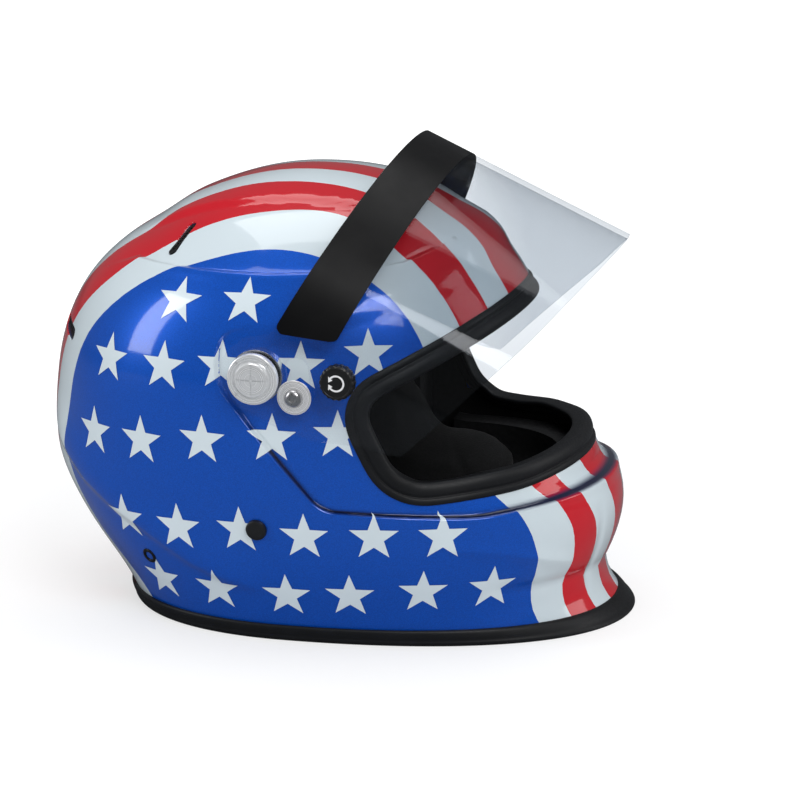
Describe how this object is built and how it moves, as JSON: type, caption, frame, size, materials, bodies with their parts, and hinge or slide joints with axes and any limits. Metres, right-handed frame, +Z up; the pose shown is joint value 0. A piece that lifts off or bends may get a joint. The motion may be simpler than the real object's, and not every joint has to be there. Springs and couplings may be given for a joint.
{
  "type": "auto racing helmet",
  "caption": "Full-face auto racing helmet with a hinged clear visor, padded liner, chin straps and tether inserts.",
  "frame": {"origin": "centre of the rest plane under the base trim, midway between the sides", "axes": "+X out of the face, +Y to the wearer's left, +Z up through the crown"},
  "size_m": [0.3347, 0.2714, 0.2671],
  "materials": {
    "shell_paint": "gloss clear coat over blue, red and white",
    "black_rubber": "matte",
    "foam": "moulded bead foam",
    "liner_fabric": "brushed knit",
    "webbing": "woven webbing",
    "strap_steel": "satin",
    "black_steel": "black oxide",
    "machined_aluminium": "turned and polished",
    "black_plastic": "satin",
    "clear_visor": "hard coated polycarbonate",
    "shade_film": "gloss film"
  },
  "bodies": {
    "helmet": {"shell": "shell_paint", "eyeport_gasket": "black_rubber", "base_trim": "black_rubber", "eps_liner": "foam", "chin_bar_liner": "foam", "comfort_liner": "liner_fabric", "neck_roll": "liner_fabric", "strap_snap": "black_steel", "cheek_pad_right": "liner_fabric", "chin_strap_right": "webbing", "strap_anchor_right": "strap_steel", "strap_cap_right": "black_plastic", "tether_insert_right": "strap_steel", "pivot_boss_right": "machined_aluminium", "pivot_nut_right": "black_steel", "pivot_washer_right": "black_plastic", "pivot_knob_right": "machined_aluminium", "detent_post_right": "machined_aluminium", "detent_nut_right": "black_steel", "detent_washer_right": "machined_aluminium", "detent_screw_right": "strap_steel", "crown_vent_mesh_right": "black_steel", "rear_vent_mesh_right": "black_steel", "cheek_pad_left": "liner_fabric", "chin_strap_left": "webbing", "strap_anchor_left": "strap_steel", "strap_cap_left": "black_plastic", "tether_insert_left": "strap_steel", "pivot_boss_left": "machined_aluminium", "pivot_nut_left": "black_steel", "pivot_washer_left": "black_plastic", "pivot_knob_left": "machined_aluminium", "detent_post_left": "machined_aluminium", "detent_nut_left": "black_steel", "detent_washer_left": "machined_aluminium", "detent_screw_left": "strap_steel", "crown_vent_mesh_left": "black_steel", "rear_vent_mesh_left": "black_steel"},
    "visor": {"visor": "clear_visor", "shade_strip": "shade_film"},
    "visor_lock": {"lock_knob": "black_plastic", "lock_cam": "black_plastic"},
    "d_rings": {"d_ring_upper": "strap_steel", "d_ring_lower": "strap_steel"}
  },
  "joints": [
    {"name": "visor_hinge", "type": "hinge", "parent": "helmet", "child": "visor", "pos_m": [-0.0192, 0, 0.1544], "axis": [0, -1, 0], "range_deg": [-36, 0]},
    {"name": "visor_lock_turn", "type": "hinge", "parent": "visor", "child": "visor_lock", "pos_m": [0.02774, -0.1284, 0.15556], "axis": [0, -1, 0], "range_deg": [0, 90]},
    {"name": "d_ring_swing", "type": "hinge", "parent": "helmet", "child": "d_rings", "pos_m": [-0.0205, 0.052, 0.008], "axis": [-1, 0, 0], "range_deg": [0, 90]}
  ]
}
